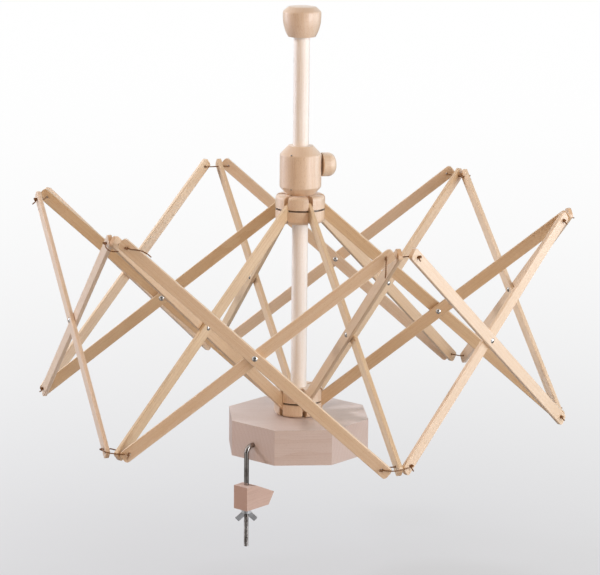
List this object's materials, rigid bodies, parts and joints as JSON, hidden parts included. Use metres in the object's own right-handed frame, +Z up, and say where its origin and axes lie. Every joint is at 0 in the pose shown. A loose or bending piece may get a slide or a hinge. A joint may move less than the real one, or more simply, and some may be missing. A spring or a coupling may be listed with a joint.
{
  "type": "umbrella swift",
  "caption": "Table-clamped wooden swift whose crossed ribs fold like an umbrella to stretch a yarn skein and let it spin on a post.",
  "frame": {"origin": "centre of the base's underside", "axes": "+Z up along the post; -X -Y diagonal towards the fitted clamp; X and Y across the base's flats"},
  "size_m": [0.6854, 0.682, 0.671],
  "materials": {
    "beech": "sanded, clear satin",
    "pale_beech": "planed, clear satin",
    "steel": "drawn and zinc plated",
    "waxed_cord": "waxed twine"
  },
  "bodies": {
    "stand": {"base": "beech", "centre_post": "pale_beech", "top_knob": "beech"},
    "clamp_rod": {"clamp_rod": "steel"},
    "clamp_block": {"clamp_block": "beech"},
    "wing_nut": {"wing_nut": "steel"},
    "lower_hub": {"lower_hub": "beech", "lower_hub_wire": "steel"},
    "upper_hub": {"upper_hub": "beech", "upper_hub_wire": "steel"},
    "locking_collar": {"locking_collar": "beech"},
    "thumb_screw": {"thumb_screw": "beech"},
    "rising_rib_1": {"rising_rib_1": "pale_beech", "rib_rivet_1": "steel"},
    "falling_rib_1": {"falling_rib_1": "pale_beech"},
    "outer_slat_1": {"outer_slat_1": "pale_beech", "slat_rivet_1": "steel"},
    "inner_slat_1": {"inner_slat_1": "pale_beech"},
    "top_tie_1": {"top_tie_1": "waxed_cord"},
    "bottom_tie_1": {"bottom_tie_1": "waxed_cord"},
    "rising_rib_2": {"rising_rib_2": "pale_beech", "rib_rivet_2": "steel"},
    "falling_rib_2": {"falling_rib_2": "pale_beech"},
    "outer_slat_2": {"outer_slat_2": "pale_beech", "slat_rivet_2": "steel"},
    "inner_slat_2": {"inner_slat_2": "pale_beech"},
    "top_tie_2": {"top_tie_2": "waxed_cord"},
    "bottom_tie_2": {"bottom_tie_2": "waxed_cord"},
    "rising_rib_3": {"rising_rib_3": "pale_beech", "rib_rivet_3": "steel"},
    "falling_rib_3": {"falling_rib_3": "pale_beech"},
    "outer_slat_3": {"outer_slat_3": "pale_beech", "slat_rivet_3": "steel"},
    "inner_slat_3": {"inner_slat_3": "pale_beech"},
    "top_tie_3": {"top_tie_3": "waxed_cord"},
    "bottom_tie_3": {"bottom_tie_3": "waxed_cord"},
    "rising_rib_4": {"rising_rib_4": "pale_beech", "rib_rivet_4": "steel"},
    "falling_rib_4": {"falling_rib_4": "pale_beech"},
    "outer_slat_4": {"outer_slat_4": "pale_beech", "slat_rivet_4": "steel"},
    "inner_slat_4": {"inner_slat_4": "pale_beech"},
    "top_tie_4": {"top_tie_4": "waxed_cord"},
    "bottom_tie_4": {"bottom_tie_4": "waxed_cord"},
    "rising_rib_5": {"rising_rib_5": "pale_beech", "rib_rivet_5": "steel"},
    "falling_rib_5": {"falling_rib_5": "pale_beech"},
    "outer_slat_5": {"outer_slat_5": "pale_beech", "slat_rivet_5": "steel"},
    "inner_slat_5": {"inner_slat_5": "pale_beech"},
    "top_tie_5": {"top_tie_5": "waxed_cord"},
    "bottom_tie_5": {"bottom_tie_5": "waxed_cord"},
    "rising_rib_6": {"rising_rib_6": "pale_beech", "rib_rivet_6": "steel"},
    "falling_rib_6": {"falling_rib_6": "pale_beech"},
    "outer_slat_6": {"outer_slat_6": "pale_beech", "slat_rivet_6": "steel"},
    "inner_slat_6": {"inner_slat_6": "pale_beech"},
    "top_tie_6": {"top_tie_6": "waxed_cord"},
    "bottom_tie_6": {"bottom_tie_6": "waxed_cord"}
  },
  "joints": [
    {"name": "swift_spin", "type": "hinge", "parent": "stand", "child": "lower_hub", "pos_m": [0, 0, 0.0629], "axis": [0, 0, 1], "continuous": true},
    {"name": "fold", "type": "hinge", "parent": "lower_hub", "child": "rising_rib_1", "pos_m": [0.02618, -0.00662, 0.0629], "axis": [-0.2453, -0.9694, 0], "range_deg": [-24.5, 38.5]},
    {"name": "rising_rib_2_hinge", "type": "hinge", "parent": "lower_hub", "child": "rising_rib_2", "pos_m": [0.01882, 0.01936, 0.0629], "axis": [0.7169, -0.6972, 0], "range_deg": [-25, 39]},
    {"name": "rising_rib_3_hinge", "type": "hinge", "parent": "lower_hub", "child": "rising_rib_3", "pos_m": [-0.00735, 0.02598, 0.0629], "axis": [0.9622, 0.2723, 0], "range_deg": [-25, 39]},
    {"name": "rising_rib_4_hinge", "type": "hinge", "parent": "lower_hub", "child": "rising_rib_4", "pos_m": [-0.02618, 0.00662, 0.0629], "axis": [0.2453, 0.9694, 0], "range_deg": [-25, 39]},
    {"name": "rising_rib_5_hinge", "type": "hinge", "parent": "lower_hub", "child": "rising_rib_5", "pos_m": [-0.01882, -0.01936, 0.0629], "axis": [-0.7169, 0.6972, 0], "range_deg": [-25, 39]},
    {"name": "rising_rib_6_hinge", "type": "hinge", "parent": "lower_hub", "child": "rising_rib_6", "pos_m": [0.00735, -0.02598, 0.0629], "axis": [-0.9622, -0.2723, 0], "range_deg": [-25, 39]},
    {"name": "rib_rivet_1_hinge", "type": "hinge", "parent": "rising_rib_1", "child": "falling_rib_1", "pos_m": [0.1713, -0.04335, 0.1863], "axis": [-0.2453, -0.9694, 0], "range_deg": [-77.5, 49.5]},
    {"name": "rib_rivet_2_hinge", "type": "hinge", "parent": "rising_rib_2", "child": "falling_rib_2", "pos_m": [0.12319, 0.12668, 0.1863], "axis": [0.7169, -0.6972, 0], "range_deg": [-77.5, 49.5]},
    {"name": "rib_rivet_3_hinge", "type": "hinge", "parent": "rising_rib_3", "child": "falling_rib_3", "pos_m": [-0.04811, 0.17002, 0.1863], "axis": [0.9622, 0.2723, 0], "range_deg": [-77.5, 49.5]},
    {"name": "rib_rivet_4_hinge", "type": "hinge", "parent": "rising_rib_4", "child": "falling_rib_4", "pos_m": [-0.1713, 0.04335, 0.1863], "axis": [0.2453, 0.9694, 0], "range_deg": [-77.5, 49.5]},
    {"name": "rib_rivet_5_hinge", "type": "hinge", "parent": "rising_rib_5", "child": "falling_rib_5", "pos_m": [-0.12319, -0.12668, 0.1863], "axis": [-0.7169, 0.6972, 0], "range_deg": [-77.5, 49.5]},
    {"name": "rib_rivet_6_hinge", "type": "hinge", "parent": "rising_rib_6", "child": "falling_rib_6", "pos_m": [0.04811, -0.17002, 0.1863], "axis": [-0.9622, -0.2723, 0], "range_deg": [-77.5, 49.5]},
    {"name": "upper_hub_hinge", "type": "hinge", "parent": "falling_rib_1", "child": "upper_hub", "pos_m": [0.02618, -0.00662, 0.3097], "axis": [-0.2453, -0.9694, 0], "range_deg": [-25, 39]},
    {"name": "top_tie_1_hinge", "type": "hinge", "parent": "rising_rib_1", "child": "top_tie_1", "pos_m": [0.31642, -0.08007, 0.3097], "axis": [-0.2453, -0.9694, 0], "range_deg": [-39, 25]},
    {"name": "bottom_tie_1_hinge", "type": "hinge", "parent": "falling_rib_1", "child": "bottom_tie_1", "pos_m": [0.31642, -0.08007, 0.0629], "axis": [-0.2453, -0.9694, 0], "range_deg": [-25, 39]},
    {"name": "top_tie_2_hinge", "type": "hinge", "parent": "rising_rib_2", "child": "top_tie_2", "pos_m": [0.22755, 0.23399, 0.3097], "axis": [0.7169, -0.6972, 0], "range_deg": [-39, 25]},
    {"name": "bottom_tie_2_hinge", "type": "hinge", "parent": "falling_rib_2", "child": "bottom_tie_2", "pos_m": [0.22755, 0.23399, 0.0629], "axis": [0.7169, -0.6972, 0], "range_deg": [-25, 39]},
    {"name": "top_tie_3_hinge", "type": "hinge", "parent": "rising_rib_3", "child": "top_tie_3", "pos_m": [-0.08887, 0.31406, 0.3097], "axis": [0.9622, 0.2723, 0], "range_deg": [-39, 25]},
    {"name": "bottom_tie_3_hinge", "type": "hinge", "parent": "falling_rib_3", "child": "bottom_tie_3", "pos_m": [-0.08887, 0.31406, 0.0629], "axis": [0.9622, 0.2723, 0], "range_deg": [-25, 39]},
    {"name": "top_tie_4_hinge", "type": "hinge", "parent": "rising_rib_4", "child": "top_tie_4", "pos_m": [-0.31642, 0.08007, 0.3097], "axis": [0.2453, 0.9694, 0], "range_deg": [-39, 25]},
    {"name": "bottom_tie_4_hinge", "type": "hinge", "parent": "falling_rib_4", "child": "bottom_tie_4", "pos_m": [-0.31642, 0.08007, 0.0629], "axis": [0.2453, 0.9694, 0], "range_deg": [-25, 39]},
    {"name": "top_tie_5_hinge", "type": "hinge", "parent": "rising_rib_5", "child": "top_tie_5", "pos_m": [-0.22755, -0.23399, 0.3097], "axis": [-0.7169, 0.6972, 0], "range_deg": [-39, 25]},
    {"name": "bottom_tie_5_hinge", "type": "hinge", "parent": "falling_rib_5", "child": "bottom_tie_5", "pos_m": [-0.22755, -0.23399, 0.0629], "axis": [-0.7169, 0.6972, 0], "range_deg": [-25, 39]},
    {"name": "top_tie_6_hinge", "type": "hinge", "parent": "rising_rib_6", "child": "top_tie_6", "pos_m": [0.08887, -0.31406, 0.3097], "axis": [-0.9622, -0.2723, 0], "range_deg": [-39, 25]},
    {"name": "bottom_tie_6_hinge", "type": "hinge", "parent": "falling_rib_6", "child": "bottom_tie_6", "pos_m": [0.08887, -0.31406, 0.0629], "axis": [-0.9622, -0.2723, 0], "range_deg": [-25, 39]},
    {"name": "outer_slat_1_hinge", "type": "hinge", "parent": "top_tie_1", "child": "outer_slat_1", "pos_m": [0.32607, -0.06331, 0.3097], "axis": [0.9622, 0.2723, 0], "range_deg": [-39, 25]},
    {"name": "inner_slat_1_hinge", "type": "hinge", "parent": "top_tie_2", "child": "inner_slat_1", "pos_m": [0.23945, 0.22333, 0.3097], "axis": [0.9622, 0.2723, 0], "range_deg": [-25, 39]},
    {"name": "outer_slat_2_hinge", "type": "hinge", "parent": "top_tie_2", "child": "outer_slat_2", "pos_m": [0.21786, 0.25073, 0.3097], "axis": [0.2453, 0.9694, 0], "range_deg": [-39, 25]},
    {"name": "inner_slat_2_hinge", "type": "hinge", "parent": "top_tie_3", "child": "inner_slat_2", "pos_m": [-0.07369, 0.31904, 0.3097], "axis": [0.2453, 0.9694, 0], "range_deg": [-25, 39]},
    {"name": "outer_slat_3_hinge", "type": "hinge", "parent": "top_tie_3", "child": "outer_slat_3", "pos_m": [-0.10821, 0.31404, 0.3097], "axis": [-0.7169, 0.6972, 0], "range_deg": [-39, 25]},
    {"name": "inner_slat_3_hinge", "type": "hinge", "parent": "top_tie_4", "child": "inner_slat_3", "pos_m": [-0.31313, 0.0957, 0.3097], "axis": [-0.7169, 0.6972, 0], "range_deg": [-25, 39]},
    {"name": "outer_slat_4_hinge", "type": "hinge", "parent": "top_tie_4", "child": "outer_slat_4", "pos_m": [-0.32607, 0.06331, 0.3097], "axis": [-0.9622, -0.2723, 0], "range_deg": [-39, 25]},
    {"name": "inner_slat_4_hinge", "type": "hinge", "parent": "top_tie_5", "child": "inner_slat_4", "pos_m": [-0.23945, -0.22333, 0.3097], "axis": [-0.9622, -0.2723, 0], "range_deg": [-25, 39]},
    {"name": "outer_slat_5_hinge", "type": "hinge", "parent": "top_tie_5", "child": "outer_slat_5", "pos_m": [-0.21786, -0.25073, 0.3097], "axis": [-0.2453, -0.9694, 0], "range_deg": [-39, 25]},
    {"name": "inner_slat_5_hinge", "type": "hinge", "parent": "top_tie_6", "child": "inner_slat_5", "pos_m": [0.07369, -0.31904, 0.3097], "axis": [-0.2453, -0.9694, 0], "range_deg": [-25, 39]},
    {"name": "outer_slat_6_hinge", "type": "hinge", "parent": "top_tie_6", "child": "outer_slat_6", "pos_m": [0.10821, -0.31404, 0.3097], "axis": [0.7169, -0.6972, 0], "range_deg": [-39, 25]},
    {"name": "inner_slat_6_hinge", "type": "hinge", "parent": "top_tie_1", "child": "inner_slat_6", "pos_m": [0.31313, -0.0957, 0.3097], "axis": [0.7169, -0.6972, 0], "range_deg": [-25, 39]},
    {"name": "collar_turn", "type": "hinge", "parent": "upper_hub", "child": "locking_collar", "pos_m": [0, 0, 0.3275], "axis": [0, 0, 1], "continuous": true},
    {"name": "thumb_screw_turn", "type": "hinge", "parent": "locking_collar", "child": "thumb_screw", "pos_m": [0.0256, 0.00451, 0.3635], "axis": [0.9848, 0.1736, 0], "continuous": true},
    {"name": "rod_swivel", "type": "hinge", "parent": "stand", "child": "clamp_rod", "pos_m": [-0.06081, -0.06081, 0.02], "axis": [-0.7071, -0.7071, 0], "range_deg": [-15, 15]},
    {"name": "block_slide", "type": "slide", "parent": "clamp_rod", "child": "clamp_block", "axis": [0, 0, 1], "range_m": [-0.015, 0.022]},
    {"name": "wing_nut_turn", "type": "hinge", "parent": "clamp_block", "child": "wing_nut", "pos_m": [-0.0693, -0.0693, -0.059], "axis": [0, 0, 1], "continuous": true}
  ],
  "couplings": [
    {"joint": "rising_rib_2_hinge", "follows": "fold", "ratio": 1},
    {"joint": "rising_rib_3_hinge", "follows": "fold", "ratio": 1},
    {"joint": "rising_rib_4_hinge", "follows": "fold", "ratio": 1},
    {"joint": "rising_rib_5_hinge", "follows": "fold", "ratio": 1},
    {"joint": "rising_rib_6_hinge", "follows": "fold", "ratio": 1},
    {"joint": "rib_rivet_1_hinge", "follows": "fold", "ratio": -2},
    {"joint": "rib_rivet_2_hinge", "follows": "fold", "ratio": -2},
    {"joint": "rib_rivet_3_hinge", "follows": "fold", "ratio": -2},
    {"joint": "rib_rivet_4_hinge", "follows": "fold", "ratio": -2},
    {"joint": "rib_rivet_5_hinge", "follows": "fold", "ratio": -2},
    {"joint": "rib_rivet_6_hinge", "follows": "fold", "ratio": -2},
    {"joint": "upper_hub_hinge", "follows": "fold", "ratio": 1},
    {"joint": "top_tie_1_hinge", "follows": "fold", "ratio": -1},
    {"joint": "bottom_tie_1_hinge", "follows": "fold", "ratio": 1},
    {"joint": "top_tie_2_hinge", "follows": "fold", "ratio": -1},
    {"joint": "bottom_tie_2_hinge", "follows": "fold", "ratio": 1},
    {"joint": "top_tie_3_hinge", "follows": "fold", "ratio": -1},
    {"joint": "bottom_tie_3_hinge", "follows": "fold", "ratio": 1},
    {"joint": "top_tie_4_hinge", "follows": "fold", "ratio": -1},
    {"joint": "bottom_tie_4_hinge", "follows": "fold", "ratio": 1},
    {"joint": "top_tie_5_hinge", "follows": "fold", "ratio": -1},
    {"joint": "bottom_tie_5_hinge", "follows": "fold", "ratio": 1},
    {"joint": "top_tie_6_hinge", "follows": "fold", "ratio": -1},
    {"joint": "bottom_tie_6_hinge", "follows": "fold", "ratio": 1},
    {"joint": "outer_slat_1_hinge", "follows": "fold", "ratio": -1},
    {"joint": "inner_slat_1_hinge", "follows": "fold", "ratio": 1},
    {"joint": "outer_slat_2_hinge", "follows": "fold", "ratio": -1},
    {"joint": "inner_slat_2_hinge", "follows": "fold", "ratio": 1},
    {"joint": "outer_slat_3_hinge", "follows": "fold", "ratio": -1},
    {"joint": "inner_slat_3_hinge", "follows": "fold", "ratio": 1},
    {"joint": "outer_slat_4_hinge", "follows": "fold", "ratio": -1},
    {"joint": "inner_slat_4_hinge", "follows": "fold", "ratio": 1},
    {"joint": "outer_slat_5_hinge", "follows": "fold", "ratio": -1},
    {"joint": "inner_slat_5_hinge", "follows": "fold", "ratio": 1},
    {"joint": "outer_slat_6_hinge", "follows": "fold", "ratio": -1},
    {"joint": "inner_slat_6_hinge", "follows": "fold", "ratio": 1},
    {"joint": "collar_turn", "follows": "swift_spin", "ratio": -1}
  ]
}
